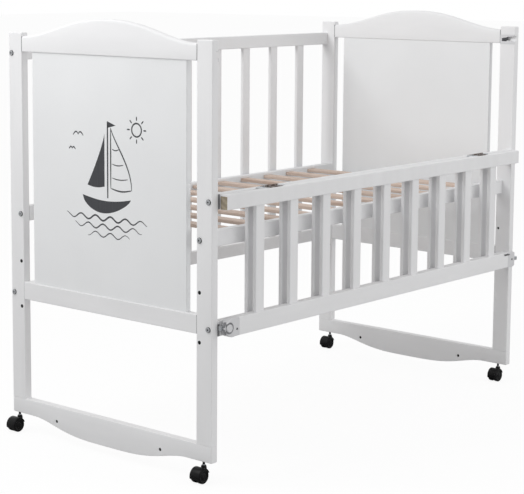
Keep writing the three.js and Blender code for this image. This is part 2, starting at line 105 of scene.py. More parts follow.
class CribSizes(bpy.types.PropertyGroup):
    """Sizes that the frame doesn't give."""

    edge: length_property("Edge", "Radius of the timber's eased edges", 2.2)
    arch_edge: length_property("Arch edge", "Radius of the head rails' rounded top edges", 6)
    arch_rise: length_property("Arch rise", "Height of the head rail's arch above its ends", 45.5)
    rocker_end: length_property("Rocker end", "Height of a rocker at its ends", 38)
    rocker_flat: length_property("Rocker flat", "Straight stretch at each end of a rocker", 75)
    bolt_radius: length_property("Bolt head", "Radius of the bolts' heads", 6)
    bolt_height: length_property("Bolt height", "How far a bolt's head stands out of its post", 3)
    screw_radius: length_property("Screw head", "Radius of the hinge screws' heads", 3.2)
    line_width: length_property("Print line", "Width of the print's drawn lines", 3.6)


# Meshes worked out as arrays


def middle_of(node):
    """The middle of a node's box, as an array."""
    low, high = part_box(node)
    return (np.array(low) + np.array(high)) / 2


def skin(rings):
    """Points and faces of a closed skin over a stack of rings, an array of ring x point x 3.

    Point k of a ring joins point k of the next one, and one face closes each end.
    """
    count, around = rings.shape[:2]
    ring, point = np.meshgrid(np.arange(count - 1), np.arange(around), indexing="ij")
    here = ring * around + point
    beside = ring * around + (point + 1) % around
    quads = np.stack([here, beside, beside + around, here + around], -1).reshape(-1, 4)
    first_end = list(range(around))[::-1]
    last_end = list(range((count - 1) * around, count * around))
    return rings.reshape(-1, 3), quads.tolist() + [first_end, last_end]


def new_object(name, data):
    """An object of that data, linked to the scene."""
    thing = bpy.data.objects.new(name, data)
    bpy.context.scene.collection.objects.link(thing)
    return thing


def make_piece(name, shells, material, body, sharp_angle=40.0):
    """One object of closed shells, its normals outwards, smooth but for edges over sharp_angle degrees."""
    mesh = bpy.data.meshes.new(name)
    build = bmesh.new()
    for points, faces in shells:
        mesh.clear_geometry()
        mesh.from_pydata(points, [], faces)
        build.from_mesh(mesh)
    bmesh.ops.remove_doubles(build, verts=build.verts, dist=1e-7)
    bmesh.ops.recalc_face_normals(build, faces=build.faces)
    build.to_mesh(mesh)
    build.free()
    finish_mesh(mesh, sharp_angle)
    mesh.materials.append(material)
    piece = new_object(name, mesh)
    if body:
        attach(piece, body)
    return piece


def finish_mesh(mesh, sharp_angle):
    """Smooth faces, and sharp edges where two faces meet at more than that angle in degrees."""
    mesh.polygons.foreach_set("use_smooth", np.ones(len(mesh.polygons), bool))
    mesh.set_sharp_from_angle(angle=math.radians(sharp_angle))


def add_piece(name, shells, look, body="frame", node=None, sharp_angle=40.0):
    """A piece of a look on a body, in place of one of the frame's nodes if that is named."""
    piece = make_piece(name, shells, material(look), body, sharp_angle)
    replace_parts(piece, node) if node else piece
    return piece


def rounded_section(low, high, radius):
    """A rectangle with quarter circles at its corners, as arrays of points run once round it.

    low and high are arrays of two coordinates, or stacks of them, and so is what comes back. The radius
    is one number for each section, or four: for the high-high, low-high, low-low and high-low corners.
    """
    low, high = np.asarray(low, float)[..., None, None, :], np.asarray(high, float)[..., None, None, :]
    radius = np.asarray(radius, float)
    if radius.shape[-1:] != (4,):
        radius = radius[..., None]
    radius = radius[..., None, None]
    steps = 4
    turn = (np.arange(4)[:, None] + np.linspace(0, 1, steps + 1)) * math.pi / 2
    corner = np.array([[1, 1], [0, 1], [0, 0], [1, 0]])[:, None, :]
    centre = np.where(corner == 1, high - radius, low + radius)
    points = centre + radius * np.stack([np.cos(turn), np.sin(turn)], -1)
    return points.reshape(*points.shape[:-3], -1, 2)


def board(axis, stations, low, high, edge, crown=None):
    """A board along an axis, whose section at each station is a rounded rectangle from low to high.

    Both ends are eased: the section shrinks there along a quarter circle of the edge's radius. The
    crown is another radius for the two edges on the high side of the section's second coordinate.
    """
    ease = np.linspace(0, math.pi / 2, 5)
    step, inset = edge * (1 - np.cos(ease)), edge * (1 - np.sin(ease))
    inside = np.clip(stations, stations[0] + edge * 1.01, stations[-1] - edge * 1.01)[1:-1]
    places = np.concatenate([stations[0] + step, inside, stations[-1] - step[::-1]])
    shrink = np.concatenate([inset, np.zeros(len(inside)), inset[::-1]])[:, None]
    lows = np.stack([np.interp(places, stations, low[:, k]) for k in (0, 1)], -1) + shrink
    highs = np.stack([np.interp(places, stations, high[:, k]) for k in (0, 1)], -1) - shrink
    corners = np.array([crown or edge, crown or edge, edge, edge])
    section = rounded_section(lows, highs, np.maximum(corners - shrink, corners * 0.15))
    along = np.broadcast_to(places[:, None, None], (*section.shape[:2], 1))
    order = {"x": (2, 0, 1), "y": (0, 2, 1), "z": (0, 1, 2)}[axis]
    return skin(np.concatenate([section, along], -1)[..., order])


def straight_board(axis, low, high, edge):
    """A board of one section that fills the box from low to high."""
    along = "xyz".index(axis)
    across = [k for k in range(3) if k != along]
    stations = np.array([low[along], high[along]])
    section = [np.tile([corner[k] for k in across], (2, 1)) for corner in (low, high)]
    return board(axis, stations, *section, edge)


def turned(profile, centre, axis, segments):
    """A profile of (radius, height) points turned about an axis through centre.

    Point (r, h) at angle a goes to r cos a and r sin a across the axis, and h along it.
    """
    radius, height = np.asarray(profile, float).T
    angle = np.radians(np.linspace(0, 360, segments, endpoint=False))
    u = radius[:, None] * np.cos(angle)
    v = radius[:, None] * np.sin(angle)
    h = np.broadcast_to(height[:, None], u.shape)
    order = {"x": (h, u, v), "y": (v, h, u), "z": (u, v, h)}[axis]
    return skin(np.stack(order, -1) + np.asarray(centre, float))


def turned_ring(profile, centre, axis, segments):
    """A closed profile of (radius, height) points turned about an axis through centre: a ring."""
    points, faces = turned([*profile, profile[0]], centre, axis, segments)
    return points, faces[:-2]


def rod_profile(radius, start, end):
    """The profile of a plain rod, for turning."""
    return [(0, start), (radius, start), (radius, end), (0, end)]


def rod(radius, start, end, centre, axis, segments):
    """A plain rod along an axis through centre."""
    return turned(rod_profile(radius, start, end), centre, axis, segments)


def softened(profile, radius):
    """A turned profile with its inner corners rounded: each corner gets an arc of the radius.

    The arc is a quadratic curve between the points at that distance from the corner along both sides.
    """
    profile = np.asarray(profile, float)
    t = np.linspace(0, 1, 5)[:, None]
    result = [profile[0]]
    for before, corner, after in zip(profile[:-2], profile[1:-1], profile[2:]):
        into, out = corner - before, after - corner
        room = min(radius, 0.45 * np.linalg.norm(into), 0.45 * np.linalg.norm(out))
        a = corner - into / np.linalg.norm(into) * room
        b = corner + out / np.linalg.norm(out) * room
        result.extend((1 - t) ** 2 * a + 2 * t * (1 - t) * corner + t**2 * b)
    return np.array([*result, profile[-1]])


def combine(first, others, operation, sharp_angle):
    """Joins closed shells to a piece, or cuts them out of it, and keeps the result as its mesh."""
    for shell in others:
        tool = make_piece("tool", [shell], first.data.materials[0], None)
        change = first.modifiers.new("solid", "BOOLEAN")
        change.operation = operation
        change.solver = "EXACT"
        change.object = tool
        bpy.context.view_layer.update()
        solid = bpy.data.meshes.new_from_object(first.evaluated_get(bpy.context.evaluated_depsgraph_get()))
        first.modifiers.clear()
        first.data = solid
        bpy.data.objects.remove(tool)
    finish_mesh(first.data, sharp_angle)


# Materials


def add_node(tree, kind, inputs=None, **settings):
    """Adds a shader node, sets its properties and fills its sockets with values or links."""
    node = tree.nodes.new(f"ShaderNode{kind}")
    for name, value in settings.items():
        setattr(node, name, value)
    for name, value in (inputs or {}).items():
        if isinstance(value, bpy.types.NodeSocket):
            tree.links.new(value, node.inputs[name])
        else:
            node.inputs[name].default_value = value
    return node


def empty_tree(owner):
    """The node tree of a material or a world, emptied."""
    owner.use_nodes = True
    owner.node_tree.nodes.clear()
    return owner.node_tree


def start_material(name):
    """A new material with only the object's coordinates in it."""
    material = bpy.data.materials.new(name)
    tree = empty_tree(material)
    return material, tree, add_node(tree, "TexCoord").outputs["Object"]


def end_material(material, tree, **sockets):
    """Adds the surface shader and the output. A socket's name has underscores for its spaces."""
    inputs = {name.replace("_", " "): value for name, value in sockets.items()}
    shader = add_node(tree, "BsdfPrincipled", inputs)
    add_node(tree, "OutputMaterial", {"Surface": shader.outputs["BSDF"]})
    return material


def noise(tree, coordinates, size, detail, roughness=0.5):
    """Noise whose features measure about size, a length or one for each axis, in metres."""
    scale = 1 / np.broadcast_to(np.asarray(size, float), 3)
    stretched = add_node(tree, "Mapping", {"Vector": coordinates, "Scale": scale})
    inputs = {"Vector": stretched.outputs["Vector"], "Scale": 1.0, "Detail": detail, "Roughness": roughness}
    return add_node(tree, "TexNoise", inputs).outputs["Fac"]


def ramp(tree, factor, stops):
    """A colour ramp through (place, linear colour) stops."""
    node = add_node(tree, "ValToRGB", {"Fac": factor})
    elements = node.color_ramp.elements
    while len(elements) < len(stops):
        elements.new(0.5)
    for element, (place, colour) in zip(elements, stops):
        element.position = place
        element.color = (*colour, 1)
    return node.outputs["Color"]


def span(tree, factor, low, high):
    """Maps a factor of 0 to 1 onto low to high."""
    inputs = {"Value": factor, "To Min": low, "To Max": high}
    return add_node(tree, "MapRange", inputs).outputs["Result"]


def bump(tree, height, depth, below=None):
    """A bump of that depth in metres, on top of another one if given."""
    inputs = {"Height": height, "Distance": depth, "Strength": 1.0}
    if below is not None:
        inputs["Normal"] = below
    return add_node(tree, "Bump", inputs).outputs["Normal"]


def tint(colour, factor):
    """A colour times a factor, kept from 0 to 1."""
    return tuple(np.clip(np.array(colour) * factor, 0, 1))


def calculated(tree, operation, *values):
    """One sum, product or the like of factors."""
    return add_node(tree, "Math", dict(enumerate(values)), operation=operation).outputs[0]


def multiplied(tree, share, colour, veil):
    """A colour multiplied by a veil of another, as far as the share says."""
    inputs = {"Factor": share, "A": colour, "B": veil}
    node = add_node(tree, "Mix", inputs, data_type="RGBA", blend_type="MULTIPLY")
    return next(output for output in node.outputs if output.type == "RGBA")


def grain_size(axis, along, across):
    """The three sizes of a grain that runs along an axis."""
    return [along if axis == name else across for name in "xyz"]


def painted_timber(colours, axis):
    """Sprayed white enamel on planed beech: satin, with the grain and the orange peel just showing."""
    material, tree, place = start_material(f"sprayed_enamel_along_{axis}")
    grain = noise(tree, place, grain_size(axis, 90 * MM, 2.5 * MM), detail=4)
    peel = noise(tree, place, 1.6 * MM, detail=2)
    cloud = noise(tree, place, grain_size(axis, 260 * MM, 40 * MM), detail=2)
    relief = bump(tree, peel, 0.03 * MM, bump(tree, grain, 0.09 * MM))
    stops = [(0.25, tint(colours.paint, 0.955)), (0.7, tuple(colours.paint))]
    return end_material(
        material, tree, Base_Color=ramp(tree, cloud, stops), Roughness=span(tree, grain, 0.45, 0.58),
        Normal=relief, IOR=1.5, Specular_IOR_Level=0.35,
    )


def bare_beech(colours):
    """Planed, unvarnished beech: warm streaks along the slat, short dark flecks and a matte surface.

    The broad streaks are 18 mm wide, so neighbouring slats differ as boards from several trees do.
    """
    material, tree, place = start_material("planed_beech")
    streak = noise(tree, place, grain_size("y", 420 * MM, 18 * MM), detail=3, roughness=0.6)
    fine = noise(tree, place, grain_size("y", 55 * MM, 1.4 * MM), detail=4, roughness=0.7)
    fleck = noise(tree, place, grain_size("y", 9 * MM, 1.1 * MM), detail=1)
    stops = [
        (0.3, tuple(colours.beech_dark)), (0.45, tint(colours.beech, 0.9)),
        (0.6, tuple(colours.beech)), (0.75, tint(colours.beech, 1.1)),
    ]
    veins = ramp(tree, fine, [(0.35, tint(colours.beech_dark, 1.05)), (0.62, (1, 1, 1))])
    dots = ramp(tree, fleck, [(0.24, (0.55, 0.42, 0.32)), (0.33, (1, 1, 1))])
    streaked = multiplied(tree, 0.35, ramp(tree, streak, stops), veins)
    return end_material(
        material, tree, Base_Color=multiplied(tree, 0.5, streaked, dots),
        Roughness=span(tree, fine, 0.5, 0.68), Normal=bump(tree, fine, 0.12 * MM), IOR=1.5,
    )


def raw_end_grain(colours):
    """Sawn beech across the grain: brown, dull, with arcs of growth rings 2 mm apart."""
    material, tree, place = start_material("sawn_end_grain")
    blur = noise(tree, place, 6 * MM, detail=4)
    rings = add_node(
        tree, "TexWave", {"Vector": place, "Scale": 1 / (40 * MM), "Distortion": 2.5},
        wave_type="RINGS", rings_direction="X",
    ).outputs["Fac"]
    both = calculated(tree, "MULTIPLY", rings, blur)
    stops = [(0.1, tint(colours.end_grain, 0.72)), (0.5, tuple(colours.end_grain))]
    return end_material(
        material, tree, Base_Color=ramp(tree, both, stops), Roughness=0.85, Normal=bump(tree, both, 0.1 * MM)
    )


def bronzed_steel(colours):
    """Bronzed sheet steel of the hinges: dark brown round the knuckles, with a painted highlight at the
    leaves' tips.

    The highlight grows with the distance along x from the hinge's middle, from none at 16 mm to full at 34
    mm.
    """
    material, tree, place = start_material("bronzed_steel")
    rub = noise(tree, place, 4 * MM, detail=4)
    left, right = (middle_of(f"hinge_pin_{side}")[0] for side in SIDES)
    away = add_node(tree, "SeparateXYZ", {"Vector": place}).outputs["X"]
    for centre in ((left + right) / 2, (right - left) / 2):
        away = calculated(tree, "ABSOLUTE", calculated(tree, "SUBTRACT", away, centre))
    # The leaves' tips turn towards bright zinc: a painted highlight.
    inputs = {"Value": away, "From Min": 16 * MM, "From Max": 34 * MM, "To Min": 0.0, "To Max": 0.5}
    tip = add_node(tree, "MapRange", inputs).outputs["Result"]
    dark, plain, bright = tint(colours.bronze, 0.4), tuple(colours.bronze), tint(colours.zinc, 0.95)
    mottle_and_highlight = ramp(tree, calculated(tree, "ADD", rub, tip), [(0.3, dark), (0.52, plain), (0.85, bright)])
    return end_material(
        material, tree, Base_Color=mottle_and_highlight, Metallic=1.0, Roughness=span(tree, rub, 0.26, 0.5),
        Normal=bump(tree, rub, 0.05 * MM),
    )


def mottled(colours, colour, title, stops, tone, gloss, grit=None, ripple=None, depth=0.0, **sockets):
    """A finish of one colour: the noise tone shades it, grit sets its gloss and ripple its relief.

    A noise is (size in millimetres, detail). Left out, grit is the same as tone, and ripple as grit. The
    stops are (place, share of the colour), and the depth of the relief is in millimetres.
    """
    material, tree, place = start_material(title)
    shade = noise(tree, place, np.multiply(tone[0], MM), detail=tone[1])
    fine = noise(tree, place, grit[0] * MM, detail=grit[1]) if grit else shade
    wave = noise(tree, place, ripple[0] * MM, detail=ripple[1]) if ripple else fine
    if depth:
        sockets["Normal"] = bump(tree, wave, depth * MM)
    shades = [(at, tint(getattr(colours, colour), share)) for at, share in stops]
    return end_material(
        material, tree, Base_Color=ramp(tree, shade, shades), Roughness=span(tree, fine, *gloss), **sockets
    )


MOTTLED = {
    # White lacquered fibreboard: smoother and a little glossier than the painted timber, with no grain
    "panel": dict(
        colour="panel", title="lacquered_fibreboard", stops=((0.3, 0.97), (0.7, 1)), tone=(180, 2),
        grit=(2.2, 2), gloss=(0.36, 0.45), depth=0.02, IOR=1.5, Specular_IOR_Level=0.4,
    ),
    # Injection-moulded white ABS: a fine spark-eroded texture with a soft sheen
    "plastic": dict(
        colour="plastic", title="moulded_abs", stops=((0.3, 0.97), (0.7, 1)), tone=(30, 1),
        grit=(0.7, 2), gloss=(0.3, 0.42), depth=0.03, IOR=1.53,
    ),
    # Moulded black nylon: deep, with a broad soft sheen that faint moulding ripples break up
    "nylon": dict(
        colour="nylon", title="moulded_nylon", stops=((0.35, 1), (0.85, 2.2)), tone=(3, 4),
        ripple=(7, 2), gloss=(0.28, 0.38), depth=0.1, IOR=1.53, Specular_IOR_Level=0.14,
    ),
    # Bright zinc on pressed steel, with fine marks
    "zinc": dict(
        colour="zinc", title="zinc_plated_steel", stops=((0.3, 0.82), (0.7, 1)), tone=(0.8, 3),
        gloss=(0.24, 0.4), depth=0.02, Metallic=1.0,
    ),
    # Grey phosphate on the bolts' heads: dull steel with fine crystals and little gloss
    "bolt": dict(
        colour="bolt", title="phosphated_steel", stops=((0.3, 0.8), (0.7, 1)), tone=(0.5, 3),
        gloss=(0.45, 0.6), depth=0.02, Metallic=0.4,
    ),
    # Blackened steel of the stems' upper half, the nuts and the latches' screws and pins, and the painted
    # shade round the bolts' heads and in the hinge screws' recesses: dark, with a dull gloss
    "black": dict(
        colour="nylon", title="blackened_steel_and_painted_shade", stops=((0.35, 1), (0.8, 3.0)), tone=(2, 3),
        gloss=(0.4, 0.55), Metallic=0.6,
    ),
    # Dull, soft grey with random lighter patches: the end frames' joint lines, the blocks in the latches'
    # ends, and the painted shade in the latches' dishes and beside the left post
    "seal": dict(
        colour="seal", title="grey_joint_and_painted_shade", stops=((0.3, 0.85), (0.7, 1)), tone=(3, 3), gloss=(0.5, 0.7),
    ),
    # Screen-printed ink: dark charcoal, matte, with the faint unevenness of the squeegee. It also paints the
    # shade in the catches' slots
    "ink": dict(
        colour="ink", title="print_ink_and_painted_shade", stops=((0.3, 0.85), (0.7, 1.15)), tone=((5, 5, 60), 3),
        gloss=(0.5, 0.62), IOR=1.5,
    ),
}
made_materials = {}


def material(look):
    """The material of a look, made once from the colours set in the scene."""
    if look not in made_materials:
        colours = bpy.context.scene.crib_colours
        if look in MOTTLED:
            made = mottled(colours, **MOTTLED[look])
        elif look.startswith("paint_"):
            made = painted_timber(colours, look[-1])
        else:
            made = {"beech": bare_beech, "end_grain": raw_end_grain, "bronze": bronzed_steel}[look](colours)
        made_materials[look] = made
    return made_materials[look]


# Shapes that the operators share


def hill(reach, sharpness):
    """Half a cosine wave: 1 at reach 0 and 0 at reach 1, with a fuller crown as sharpness grows."""
    return (1 + np.cos(np.pi * np.clip(reach, 0, 1) ** sharpness)) / 2


def curve(across, up):
    """The points of a curve from two arrays, or an array and a number."""
    return np.stack(np.broadcast_arrays(across, up), -1)


def bent_board(x, y, z, *edges):
    """A board along y between two values of x, whose bottom and top, the two of z, may change along it."""
    lows, highs = (np.stack(np.broadcast_arrays(x[k], z[k], y)[:2], -1) for k in (0, 1))
    return board("y", y, lows, highs, *edges)


def bolt_head(centre, outward, radius, height):
    """A furniture bolt's flat head, facing along x: a rounded rim, a flat face and a hexagon socket.

    The rings run from the shank side over the rim to the socket's floor. The hexagon has as many points
    as a circle: at angle a its reach is cos 30 / cos b, where b is the angle from the nearest flat's middle.
    """
    buried, socket_depth, socket_share, segments = 2.6 * MM, 2.2 * MM, 0.37, 48
    angle = np.linspace(0, 2 * math.pi, segments, endpoint=False)
    from_flat = (angle + math.pi / 6) % (math.pi / 3) - math.pi / 6
    hexagon = socket_share * math.cos(math.pi / 6) / np.cos(from_flat)
    shares = [(1.0, -buried), (1.0, height * 0.7), (0.96, height * 0.9), (0.88, height), (0.62, height)]
    shares += [(hexagon, height), (hexagon, height - socket_depth)]
    rings = []
    for share, depth in shares:
        reach = np.broadcast_to(radius * share, segments)
        x = np.full(segments, outward * depth)
        rings.append(np.stack([x, reach * np.cos(angle), reach * np.sin(angle)], -1) + centre)
    return skin(np.array(rings))


def screw_head(centre, radius):
    """A countersunk screw's head, facing up, whose recess is painted shade on a dark piece."""
    shares = [(0, -1.0), (0.6, -1.0), (1, -0.1), (0.94, 0.2), (0, 0.3)]
    return turned([(radius * share, height * MM) for share, height in shares], centre, "z", 32)


def cross_recess_shade(centre, radius):
    """Two crossed dark bars over most of the head: painted shade standing for the screw's recess."""
    wide, long, thick = radius * 0.13, radius * 0.62, 0.12 * MM
    bars = []
    for long_axis in (0, 1):
        half = np.array([wide, wide, thick])
        half[long_axis] = long
        bars.append(straight_board("xyz"[long_axis], centre - half, centre + half, 0.03 * MM))
    return bars


# Operators


class CRIB_OT_timber(bpy.types.Operator):
    """Give the frame's own timber pieces their paint or bare wood, each with its grain along its length"""

    bl_idname = "crib.timber"
    bl_label = "Timber and panels"

    NODES_OF_LOOK = {
        "panel": ("panel_",),
        "beech": ("base_slat_",),
        "paint_x": ("base_rail", "front_top_rail", "back_top_rail", "gate_latch_rail"),
        "paint_y": ("lower_rail", "head_rail", "rocker"),
        "paint_z": ("post_", "front_slats", "back_slats", "gate_slats"),
        "bronze": ("hinge_",),
        "plastic": ("catch_plate",),
        "zinc": ("latch_tongue",),
    }

    def execute(self, context):
        for look, starts in self.NODES_OF_LOOK.items():
            for name, node in NODES.items():
                if name.startswith(starts):
                    node.data.materials.clear()
                    node.data.materials.append(material(look))
        return {"FINISHED"}


class CRIB_OT_head_rails(bpy.types.Operator):
    """Make the arched head rails, whose top follows half a cosine wave on each side of the middle"""

    bl_idname = "crib.head_rails"
    bl_label = "Head rails"

    def execute(self, context):
        sizes = context.scene.crib_sizes
        sharpness = 1.18
        for side in SIDES:
            node = f"head_rail_{side}"
            low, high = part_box(node)
            y = np.linspace(low.y, high.y, 121)
            reach = np.abs(y - (low.y + high.y) / 2) / ((high.y - low.y) / 2)
            top = high.z - sizes.arch_rise * (1 - hill(reach, sharpness))
            shell = bent_board((low.x, high.x), y, (low.z, top), sizes.edge, sizes.arch_edge)
            add_piece(f"arched_rail_{side}", [shell], "paint_y", node=node)
        return {"FINISHED"}


class CRIB_OT_rockers(bpy.types.Operator):
    """Make the rockers, bellied downwards in the middle and drilled through twice"""

    bl_idname = "crib.rockers"
    bl_label = "Rockers"

    def execute(self, context):
        sizes = context.scene.crib_sizes
        sharpness, nut_depth = 1.8, 1.6 * MM
        hole_spacing, hole_radius, hole_height = 340 * MM, 4 * MM, 50 * MM
        for side in SIDES:
            node = f"rocker_{side}"
            low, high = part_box(node)
            middle, half = (low.y + high.y) / 2, (high.y - low.y) / 2
            y = np.linspace(low.y, high.y, 161)
            end_bottom = high.z - sizes.rocker_end
            reach = np.abs(y - middle) / (half - sizes.rocker_flat)
            bottom = end_bottom - (end_bottom - low.z) * hill(reach, sharpness)
            shell = bent_board((low.x, high.x), y, (bottom, high.z), sizes.edge)
            piece = add_piece(f"bellied_rocker_{side}", [shell], "paint_y", node=node)
            places = [(0, middle + face * hole_spacing / 2, hole_height) for face in (-1, 1)]
            holes = [rod(hole_radius, low.x - MM, high.x + MM, place, "x", 32) for place in places]
            combine(piece, holes, "DIFFERENCE", 40)
            ends = (low.x + nut_depth, high.x - nut_depth)
            nuts = [rod(hole_radius * 0.98, *ends, place, "x", 32) for place in places]
            add_piece(f"rocker_nuts_{side}", nuts, "black")
        return {"FINISHED"}


class CRIB_OT_bolts(bpy.types.Operator):
    """Fit the bolts that hold both grilles and the mattress base, and the nuts of the base's spare levels"""

    bl_idname = "crib.bolts"
    bl_label = "Bolts"

    def execute(self, context):
        sizes = context.scene.crib_sizes
        spare_hole, spare_levels = 3.5 * MM, (426 * MM, 315 * MM)
        bore, rim = spare_hole * 0.98, spare_hole * 1.25
        nut = [(0, -18), (bore, -18), (bore, -0.3), (rim, -0.3), (rim, 0.1), (0, 0.1)]
        for face, side in CORNERS:
            low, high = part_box(f"post_{face}_{side}")
            outward = SIDES[side]
            x = low.x if outward < 0 else high.x
            # The dark ring round each head's flank is painted shade.
            flank_shade_ends = (x - outward * MM, x + outward * (sizes.bolt_height - MM))
            heads, flank_shades = [], []
            for y, z in self.places(face):
                heads.append(bolt_head(np.array([x, y, z]), outward, sizes.bolt_radius, sizes.bolt_height))
                flank_shades.append(rod(sizes.bolt_radius * 1.05, *flank_shade_ends, (0, y, z), "x", 32))
            add_piece(f"bolts_{face}_{side}", heads, "bolt", sharp_angle=30)
            add_piece(f"bolt_flank_shades_{face}_{side}", flank_shades, "black")
            profile = [(radius, x + outward * depth * MM) for radius, depth in nut]
            base_y = middle_of(f"base_rail_{face}")[1]
            nuts = [turned(profile, (0, base_y, level), "x", 32) for level in spare_levels]
            add_piece(f"spare_nuts_{face}_{side}", nuts, "black")
        return {"FINISHED"}

    @staticmethod
    def places(face):
        """Where bolts meet one post: the middles of the rails that it carries."""
        low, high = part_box(f"{face}_top_rail")
        top, base = middle_of(f"{face}_top_rail"), middle_of(f"base_rail_{face}")
        grille_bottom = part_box(f"{face}_slats_and_bottom_rail")[0].z
        return [top[1:], (top[1], grille_bottom + (high.z - low.z) / 2), base[1:]]


class CRIB_OT_joints(bpy.types.Operator):
    """Make the dark joint lines of the end frames' rails, and grey strips of painted shadow on the fixed
    half's left end, beside the post
    """

    bl_idname = "crib.joints"
    bl_label = "Joint lines"

    def execute(self, context):
        inset, arch_rise = 0.3 * MM, context.scene.crib_sizes.arch_rise
        for side in SIDES:
            lines = []
            for rail, rise in (("head", arch_rise), ("lower", 0)):
                low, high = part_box(f"{rail}_rail_{side}")
                for y in (low.y, high.y):
                    line_low = (low.x + inset, y - MM, low.z + MM)
                    line_high = (high.x - inset, y + MM, high.z - rise - MM)
                    lines.append(straight_board("z", line_low, line_high, 0.1 * MM))
            add_piece(f"joint_lines_{side}", lines, "seal")
        self.post_shadow_strips()
        return {"FINISHED"}

    @staticmethod
    def post_shadow_strips():
        """Flat grey strips of painted shadow on the fixed half's rails, beside the left post.

        A rail lies behind the post's front, so the camera sees a strip only past that depth times 1.14,
        and each reaches 5 mm further.
        """
        proud, sight, shown, margin = 0.3 * MM, 1.14, 5 * MM, 0.5 * MM
        post_low, post_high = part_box("post_front_left")
        top_low, top_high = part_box("front_top_rail")
        rail_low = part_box("front_slats_and_bottom_rail")[0]
        height = top_high.z - top_low.z
        shells = []
        # Each grey strip is painted shadow of the post on its rail.
        for rail, size in ((rail_low, height - 6.5 * MM), (top_low, height - MM)):
            low = (post_high.x, rail.y - proud, rail.z + margin)
            reach = sight * (rail.y - post_low.y) + shown
            shells.append(straight_board("z", low, (low[0] + reach, rail.y + MM, low[2] + size), 0.3 * MM))
        add_piece("post_shadow_strips", shells, "seal")


class CRIB_OT_hinge_screws(bpy.types.Operator):
    """Fit the screws of the hinges' leaves"""

    bl_idname = "crib.hinge_screws"
    bl_label = "Hinge screws"

    def execute(self, context):
        radius = context.scene.crib_sizes.screw_radius
        spacing, from_edge, leaf, head_height = 42 * MM, 6.5 * MM, 1.4 * MM, 0.28 * MM
        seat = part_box("front_top_rail")[1].z + leaf
        for side in SIDES:
            for kind, body in (("fixed", "frame"), ("gate", "gate")):
                low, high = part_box(f"hinge_leaf_{kind}_{side}")
                y = high.y - from_edge if kind == "fixed" else low.y + from_edge
                heads, recess_shades = [], []
                for end in (-1, 1):
                    centre = np.array([(low.x + high.x) / 2 + end * spacing / 2, y, seat])
                    heads.append(screw_head(centre, radius))
                    # The dark crossed bars are painted shade for each head's recess.
                    recess_shades += cross_recess_shade(centre + [0, 0, head_height], radius)
                add_piece(f"hinge_screws_{kind}_{side}", heads, "bronze", body)
                add_piece(f"hinge_screw_slots_{kind}_{side}", recess_shades, "black", body)
        return {"FINISHED"}


